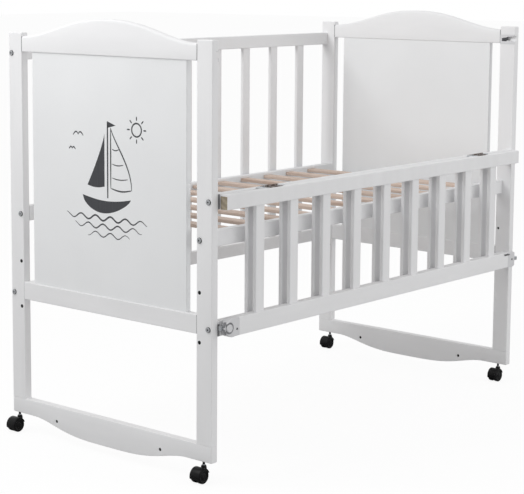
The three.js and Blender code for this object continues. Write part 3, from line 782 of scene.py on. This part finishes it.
class CRIB_OT_latches(bpy.types.Operator):
    """Make the latches: a moulded housing with a ring round its button, and the button itself

    Each piece is made for the left latch, and turned half round about the rail's middle for the right one.
    """

    bl_idname = "crib.latches"
    bl_label = "Latches"

    CAP_RADIUS = 21 * MM
    DISH_DEPTH = 3 * MM

    def execute(self, context):
        low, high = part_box("gate_latch_rail")
        self.front, self.back, self.bottom, self.top = low.y, high.y, low.z, high.z
        self.middle = middle_of("gate_latch_rail")
        self.end, self.inner = (corner.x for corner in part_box("latch_housing_left"))
        self.centre = middle_of("latch_button_left") * [1, 0, 1]
        self.cap = (self.end + self.CAP_RADIUS, 0, self.centre[2])
        self.screw = (self.inner - 7 * MM, 0, self.centre[2] - 4.5 * MM)
        for side in SIDES:
            pieces = [self.housing(side), *self.fittings(side), self.button(side)]
            if side == "right":
                middle = Matrix.Translation((self.middle[0], self.middle[1], 0))
                for piece in pieces:
                    piece.data.transform(middle @ Matrix.Rotation(math.pi, 4, "Z") @ middle.inverted())
        return {"FINISHED"}

    def housing(self, side):
        """A plate with a round cap, bevelled behind, with the dish, the button's bore and the channel."""
        front, back, middle_y = self.front, self.back, self.middle[1]
        plate = straight_board("x", (self.cap[0], front, self.bottom), (self.inner, back, self.top), 1.5 * MM)
        disc = softened(rod_profile(self.CAP_RADIUS, front, back), 1.2 * MM)
        node = f"latch_housing_{side}"
        piece = add_piece(f"latch_body_{side}", [plate], "plastic", "gate", node)
        combine(piece, [turned(disc, self.cap, "y", 96)], "UNION", 35)
        bevel = np.array([(-1, 0), (0, 0), (9, 10), (9, 11), (-1, 11)]) * MM + [self.end, middle_y]
        reach = self.CAP_RADIUS + MM
        wedge = skin(np.array([[(x, y, self.cap[2] + z) for x, y in bevel] for z in (-reach, reach)]))
        dish_radius, bore_radius, clear = 13 * MM, 9.3 * MM, front - 2 * MM
        dish = softened(rod_profile(dish_radius, clear, front + self.DISH_DEPTH), 0.8 * MM)
        low, high = (np.array(corner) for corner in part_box("latch_tongue_left"))
        travel, room, screw_hole, pin_hole = 5 * MM, 0.3 * MM, 2.8 * MM, 3 * MM
        cuts = [
            wedge,
            turned(dish, self.centre, "y", 64),
            rod(bore_radius, clear, middle_y - 0.2 * MM, self.centre, "y", 64),
            rod(screw_hole, clear, front + 2.2 * MM, self.screw, "y", 64),
            rod(pin_hole, back - 3 * MM, back + MM, self.cap, "y", 64),
            straight_board("x", low - [0, room, room], high + [travel + room, room, room], 0.3 * MM),
        ]
        combine(piece, cuts, "DIFFERENCE", 35)
        return piece

    def fittings(self, side):
        """The screw and pin in their holes, the pressed mark behind, the ring of painted shade and the block
        in the end.
        """
        front, back, end, inner, z = self.front, self.back, self.end, self.inner, self.centre[2]
        head = np.array([(0, 2.1), (2.6, 2.1), (2.6, 1.3), (1.6, 0.9), (0, 0.8)]) * MM + [0, front]
        pin = rod(2.9 * MM, back - 2.9 * MM, back - 1.5 * MM, self.cap, "y", 32)
        mark_low = (inner - 8 * MM, back - MM, self.top - 8.4 * MM)
        mark_high = (inner + 18 * MM, back + 0.15 * MM, self.top - 4.2 * MM)
        mark = straight_board("x", mark_low, mark_high, 1.4 * MM)
        block_low = (end + 0.1 * MM, front + 4.7 * MM, z - 13.5 * MM)
        block = straight_board("z", block_low, (end + 8 * MM, front + 10.1 * MM, z + 13.5 * MM), 0.4 * MM)
        return [
            add_piece(f"latch_screws_{side}", [turned(head, self.screw, "y", 32), pin], "black", "gate"),
            add_piece(f"latch_mark_{side}", [mark], "ink", "gate"),
            self.shade_ring(side),
            add_piece(f"latch_end_{side}", [block], "seal", "gate"),
        ]

    def shade_ring(self, side):
        """A grey ring of painted shade in the dish round the button, cut away towards the housing's end."""
        floor, inner, outer = self.front + self.DISH_DEPTH, 9.25 * MM, 12.9 * MM
        below, above = floor - 0.5 * MM, floor + 0.1 * MM
        profile = [(inner, below), (outer, below), (outer, above), (inner, above)]
        # The grey ring is painted shade on the dish's floor.
        piece = add_piece(f"latch_shade_ring_{side}", [turned_ring(profile, self.centre, "y", 96)], "seal", "gate")
        cut_high = np.array([self.centre[0] - 10.2 * MM, floor + 10 * MM, self.centre[2] + 30 * MM])
        cut = straight_board("x", cut_high - np.array([60, 22, 60]) * MM, cut_high, 0.1 * MM)
        combine(piece, [cut], "DIFFERENCE", 35)
        return piece

    def button(self, side):
        """The push button: a rounded rim round a face that is hollowed by half a millimetre."""
        low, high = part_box("latch_button_left")
        radius = (high.x - low.x) / 2
        face = [(0, 0.5), (0.78, 0.1), (0.86, 0), (1, 0.9)]
        profile = [(radius * share, low.y + depth * MM) for share, depth in face]
        profile = softened([*profile, (radius, high.y), (0, high.y)], 0.8 * MM)
        shell = turned(profile, self.centre, "y", 64)
        node = f"latch_button_{side}"
        return add_piece(f"latch_push_{side}", [shell], "plastic", f"button_{side}", node)


class CRIB_OT_catches(bpy.types.Operator):
    """Paint the shade in the catches' slots as dark plates on their faces, wide at the back and drawn out to
    a line at the front
    """

    bl_idname = "crib.catches"
    bl_label = "Catches"

    # Points of (y, height) in millimetres, from the plate's front edge and a line 11 mm below its top
    OUTLINE = [
        (8, 6.1), (8, 5.3), (19.6, 5.2), (22, -1.2), (26, -6.4), (39.8, -6.4), (39.8, 1.2), (28, 2.6),
        (21, 6.1),
    ]

    def execute(self, context):
        proud, depth, line_below_top = 0.08 * MM, 1.2 * MM, 11 * MM
        for side, way in SIDES.items():
            low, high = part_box(f"catch_plate_{side}")
            face = high.x if way < 0 else low.x
            points = np.array(self.OUTLINE) * MM + [low.y, high.z - line_below_top]
            rings = [[(face + way * reach, y, z) for y, z in points] for reach in (-proud, depth)]
            # Each dark plate is painted shade where the slot lies in shadow.
            add_piece(f"catch_slot_shade_{side}", [skin(np.array(rings))], "ink")
        return {"FINISHED"}


class CRIB_OT_castors(bpy.types.Operator):
    """Make the castors: stem, swivelling hood over the twin wheels, and the wheels on their axle"""

    bl_idname = "crib.castors"
    bl_label = "Castors"

    def execute(self, context):
        for face, side in CORNERS:
            corner = f"{face}_{side}"
            low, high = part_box(f"castor_wheels_{corner}")
            self.radius, self.half = (high.x - low.x) / 2, (high.y - low.y) / 2
            self.centre = np.array([(low.x + high.x) / 2, (low.y + high.y) / 2, low.z + self.radius])
            self.stem_centre = middle_of(f"castor_stem_{corner}") * [1, 1, 0]
            self.hood_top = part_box(f"castor_hood_{corner}")[1].z
            self.wheels(corner)
            self.hood(corner)
            self.stem(corner)
        return {"FINISHED"}

    def wheels(self, corner):
        """Two wheels, each with a tread, a rim, a sunk disc and a hub, and the axle between them."""
        radius, outer, inner, axle_radius = self.radius, self.half, self.half - 9.4 * MM, 3 * MM
        sunk = outer - 1.6 * MM
        wheel = softened([
            (0, inner), (radius, inner), (radius, outer - 1.5 * MM), (radius - 2 * MM, outer),
            (radius * 0.74, outer), (radius * 0.68, sunk), (radius * 0.4, sunk),
            (radius * 0.34, outer - 0.2 * MM), (radius * 0.12, outer), (0, outer),
        ], 0.8 * MM)
        axle = rod_profile(axle_radius, -inner - MM, inner + MM)
        shells = [turned(part, self.centre, "y", 72) for part in (wheel, wheel * [1, -1], axle)]
        node = f"castor_wheels_{corner}"
        add_piece(f"twin_wheels_{corner}", shells, "nylon", f"wheels_{corner}", node, 50)

    def hood(self, corner):
        """The wall over the wheels, the web between them and the collar round the stem."""
        web_radius, web_half = self.radius - 2 * MM, 3.7 * MM
        web = softened(rod_profile(web_radius, -web_half, web_half), 0.5 * MM)
        collar = [
            (0, -17), (3.6, -17), (3.6, -9), (6.6, -8.5), (7, -7.5), (6.2, -3), (5.3, 0), (3.8, 0),
            (3.8, -2), (0, -2),
        ]
        collar = softened(np.array(collar) * MM + [0, self.hood_top], 0.7 * MM)
        shells = [self.arch(), turned(web, self.centre, "y", 64), turned(collar, self.stem_centre, "z", 48)]
        node = f"castor_hood_{corner}"
        add_piece(f"castor_cover_{corner}", shells, "nylon", f"hood_{corner}", node, 50)

    def arch(self):
        """The hood's wall: a thin rounded section carried round the axle, from over the toe down to the heel.

        At angle a, section point (r, y) goes to r cos a along x and r sin a up.
        """
        inside, outside = self.radius + 0.5 * MM, self.radius + 1.9 * MM
        section = rounded_section((inside, -self.half), (outside, self.half), 0.6 * MM)
        angle = np.radians(np.linspace(18, 198, 61))[:, None]
        x = section[:, 0] * np.cos(angle)
        z = section[:, 0] * np.sin(angle)
        y = np.broadcast_to(section[:, 1], x.shape)
        return skin(np.stack([x, y, z], -1) + self.centre)

    def stem(self, corner):
        """The bright stem up to a joint 2.5 mm above the hood, and the dark sleeve over it."""
        low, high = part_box(f"castor_stem_{corner}")
        radius, joint = (high.x - low.x) / 2, self.hood_top + 2.5 * MM
        bright = rod(radius, low.z, joint, self.stem_centre, "z", 40)
        dark = rod(radius * 0.8, joint, high.z, self.stem_centre, "z", 40)
        add_piece(f"stem_{corner}", [bright], "zinc", node=f"castor_stem_{corner}")
        add_piece(f"stem_sleeve_{corner}", [dark], "black")


class CRIB_OT_print(bpy.types.Operator):
    """Print a small sailing boat on waves on the left end panel, in ink a tenth of a millimetre thick"""

    bl_idname = "crib.print"
    bl_label = "Print"

    def execute(self, context):
        print_height, width = 650 * MM, context.scene.crib_sizes.line_width
        self.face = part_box("panel_left")[0].x
        self.middle = np.array([middle_of("panel_left")[1], print_height])
        add_piece("panel_print_left", self.boat(width) + self.waves(width) + self.sky(width), "ink")
        return {"FINISHED"}

    def flat(self, outline):
        """A thin plate with an outline of (across, up) points in millimetres, seen from outside the crib."""
        points = np.asarray(outline, float) * MM
        y, z = self.middle[0] - points[:, 0], self.middle[1] + points[:, 1]
        ink = 0.1 * MM
        rings = [np.stack([np.full(len(points), self.face + depth), y, z], -1) for depth in (ink, -ink)]
        return skin(np.array(rings))

    def stroke(self, across, up, width, taper=0.35):
        """A drawn line: its width swells in the middle as a sine, from taper at both ends."""
        points = curve(across, up)
        step = np.gradient(points, axis=0)
        normal = np.stack([-step[:, 1], step[:, 0]], -1) / np.linalg.norm(step, axis=1)[:, None]
        along = np.linspace(0, math.pi, len(points))[:, None]
        half = width / MM / 2 * (taper + (1 - taper) * np.sin(along) ** 0.5)
        return self.flat(np.concatenate([points + normal * half, (points - normal * half)[::-1]]))

    def boat(self, width):
        """A filled hull and jib, and a mainsail drawn by its edges and three battens."""
        t = np.linspace(0, 1, 33)
        bow = np.sin(math.pi * t)
        keel = curve(78 - 156 * t, -42 - 38 * np.sin(math.pi * t**1.25) ** 0.55)
        hull = self.flat(np.concatenate([curve(-78 + 156 * t, -42 - 9 * bow), keel[1:-1]]))
        mast = self.stroke(4.0, -44 + 176 * t, width * 1.2, 0.8)
        leech = (14 + 66 * np.sin(t * math.pi / 2) ** 1.3, 118 - 138 * t)
        foot, luff = (80 - 66 * t, -20 - 5 * bow), (14.0, -20 + 138 * t)
        main_sail = [self.stroke(*edge, width) for edge in (leech, foot, luff)]
        jib_foot = curve(-62 + 56 * t, -18 - 4 * bow)
        jib = self.flat(np.concatenate([curve(-6 - 56 * t**1.25, 104 - 122 * t), jib_foot[1:]]))
        pennant = self.flat([(4, 132), (30, 124), (4, 117)])
        battens = [
            self.stroke(18 + reach * t, height - 3 * bow, width * 0.7)
            for reach, height in ((22, 70), (36, 36), (50, 4))
        ]
        return [hull, mast, *main_sail, jib, pennant, *battens]

    def waves(self, width):
        """Three rows of waves: a sine of 48 mm length, each row shorter than the last and half a wave on."""
        rows = []
        for row, ends in enumerate(((-132, 128), (-104, 112), (-62, 74))):
            across = np.linspace(*ends, 121)
            up = -92 - 19 * row + 5.5 * np.sin((across - 24 * row) / 48 * 2 * math.pi)
            rows.append(self.stroke(across, up, width * (1.15 - 0.2 * row), 0.2))
        return rows

    def sky(self, width):
        """A sun of a ring and eight short rays, and two gulls of two arcs each."""
        x, y = 96.0, 118.0
        turn = np.linspace(0, 2 * math.pi, 49)
        lines = [self.stroke(x + 15 * np.cos(turn), y + 15 * np.sin(turn), width, 1.0)]
        reach = np.linspace(21, 30, 9)
        for angle in np.arange(8) * math.pi / 4:
            ray = (x + reach * math.cos(angle), y + reach * math.sin(angle))
            lines.append(self.stroke(*ray, width * 0.9, 0.6))
        t = np.linspace(0, 1, 25)
        for (x, y), size in (((-92, 96), 17), ((-112, 62), 11)):
            lift = size * 0.42 * np.sin(math.pi * t**0.8) - size * 0.1 * t
            lines += [self.stroke(x + way * size * t, y + lift, width * 0.9, 0.3) for way in (-1, 1)]
        return lines


class CRIB_OT_rail_end(bpy.types.Operator):
    """Bare the sawn left end of the folding half's upper rail"""

    bl_idname = "crib.rail_end"
    bl_label = "Sawn rail end"

    def execute(self, context):
        low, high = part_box("gate_slats_and_hinge_rail")
        rail_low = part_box("front_top_rail")[0]
        inset, painted_top, proud, sunk = 0.6 * MM, 4.5 * MM, 0.15 * MM, 0.3 * MM
        face_low = (low.x - proud, low.y + inset, rail_low.z + inset)
        face_high = (low.x + sunk, high.y - inset, high.z - painted_top)
        shell = straight_board("x", face_low, face_high, 0.1 * MM)
        add_piece("rail_end_grain", [shell], "end_grain", "gate")
        return {"FINISHED"}


class CRIB_OT_stage(bpy.types.Operator):
    """Set the floor, the soft studio light and the camera of the photograph"""

    bl_idname = "crib.stage"
    bl_label = "Stage"

    def execute(self, context):
        self.floor()
        self.world()
        self.lamps()
        self.camera()
        return {"FINISHED"}

    @staticmethod
    def floor():
        """A pale floor that the camera sees as near white, with the crib's shadow still faintly on it."""
        half, drop, grey, glow, seen_white = 30.0, 0.2 * MM, 0.6, 1.08, 0.85
        corners = [(x * half, y * half, -drop) for x, y in ((-1, -1), (1, -1), (1, 1), (-1, 1))]
        mesh = bpy.data.meshes.new("floor")
        mesh.from_pydata(corners, [], [[0, 1, 2, 3]])
        paper = bpy.data.materials.new("studio_paper")
        tree = empty_tree(paper)
        matte = add_node(tree, "BsdfDiffuse", {"Color": (grey, grey, grey, 1)}).outputs["BSDF"]
        white = add_node(tree, "Emission", {"Color": (1, 1, 1, 1), "Strength": glow})
        share = span(tree, add_node(tree, "LightPath").outputs["Is Camera Ray"], 0.0, seen_white)
        inputs = {0: share, 1: matte, 2: white.outputs["Emission"]}
        mixed = add_node(tree, "MixShader", inputs).outputs["Shader"]
        add_node(tree, "OutputMaterial", {"Surface": mixed})
        mesh.materials.append(paper)
        new_object("floor", mesh)

    @staticmethod
    def world():
        """Even grey light from all round, seen as white by the camera and in reflections."""
        world = bpy.data.worlds.new("studio")
        bpy.context.scene.world = world
        tree = empty_tree(world)
        grey, white = 0.635, 1.0
        path = add_node(tree, "LightPath").outputs
        clear = path["Is Camera Ray"]
        for kind in ("Is Transmission Ray", "Is Glossy Ray"):
            clear = calculated(tree, "MAXIMUM", clear, path[kind])
        inputs = {"Color": (1, 1, 1, 1), "Strength": span(tree, clear, grey, white)}
        light = add_node(tree, "Background", inputs)
        add_node(tree, "OutputWorld", {"Surface": light.outputs["Background"]})

    @staticmethod
    def lamps():
        """A soft spot from the left that fades towards the floor, a box by the left end, two in front."""
        middle, spot_angle = (0, 0, 0.55), math.radians(52)
        lamps = [
            ("key_spot", "SPOT", (-3.6, 1.0, 2.2), 1.0, 145, (0, 0, 1.7)),
            ("top_box", "AREA", (-1.9, 1.0, 2.6), 1.8, 24, middle),
            ("front_box", "AREA", (1.5, -4.8, 1.2), 2.0, 34, middle),
            ("right_box", "AREA", (2.4, -3.2, 1.8), 2.4, 8, middle),
        ]
        for name, kind, place, size, power, target in lamps:
            lamp = bpy.data.lights.new(name, kind)
            if kind == "SPOT":
                lamp.spot_size, lamp.spot_blend, lamp.shadow_soft_size = spot_angle, 1.0, size / 2
            else:
                lamp.size = size
            lamp.energy = power
            holder = new_object(name, lamp)
            holder.location = place
            holder.rotation_euler = (Vector(target) - Vector(place)).to_track_quat("-Z", "Y").to_euler()

    @staticmethod
    def camera():
        """The photograph's viewpoint: place, heading, tilt and roll fitted to the crib's corners."""
        place = Vector((-3.17655, -2.5892, 1.1173))
        heading, tilt, roll = (math.radians(angle) for angle in (41.832, -7.467, -0.144))
        across, along = math.sin(heading), math.cos(heading)
        forward = Vector((along * math.cos(tilt), across * math.cos(tilt), math.sin(tilt)))
        level = Vector((across, -along, 0))
        down = forward.cross(level)
        right = level * math.cos(roll) + down * math.sin(roll)
        up = level * math.sin(roll) - down * math.cos(roll)
        data = bpy.data.cameras.new("camera")
        data.sensor_width, data.lens, data.shift_x, data.shift_y = 36, 110.98, 0.11, -0.12
        camera = new_object("camera", data)
        camera.matrix_world = Matrix.Translation(place) @ Matrix((right, up, -forward)).transposed().to_4x4()
        bpy.context.scene.camera = camera


class CRIB_PT_sidebar(bpy.types.Panel):
    """The crib's pieces, sizes and colours"""

    bl_label = "Wooden crib"
    bl_space_type = "VIEW_3D"
    bl_region_type = "UI"
    bl_category = "Crib"

    def draw(self, context):
        for group in (context.scene.crib_sizes, context.scene.crib_colours):
            for name in group.__annotations__:
                self.layout.prop(group, name)
        for operator in OPERATORS:
            self.layout.operator(operator.bl_idname)


OPERATORS = (
    CRIB_OT_timber,
    CRIB_OT_head_rails,
    CRIB_OT_rockers,
    CRIB_OT_bolts,
    CRIB_OT_joints,
    CRIB_OT_hinge_screws,
    CRIB_OT_latches,
    CRIB_OT_catches,
    CRIB_OT_castors,
    CRIB_OT_print,
    CRIB_OT_rail_end,
    CRIB_OT_stage,
)
CLASSES = (CribColours, CribSizes, *OPERATORS, CRIB_PT_sidebar)


def register():
    for kind in CLASSES:
        bpy.utils.register_class(kind)
    bpy.types.Scene.crib_colours = PointerProperty(type=CribColours)
    bpy.types.Scene.crib_sizes = PointerProperty(type=CribSizes)


def unregister():
    del bpy.types.Scene.crib_sizes
    del bpy.types.Scene.crib_colours
    for kind in reversed(CLASSES):
        bpy.utils.unregister_class(kind)


def main():
    register()
    for operator in OPERATORS:
        group, name = operator.bl_idname.split(".")
        getattr(getattr(bpy.ops, group), name)()
    bpy.context.scene.view_settings.view_transform = "Standard"


if __name__ == "__main__":
    main()
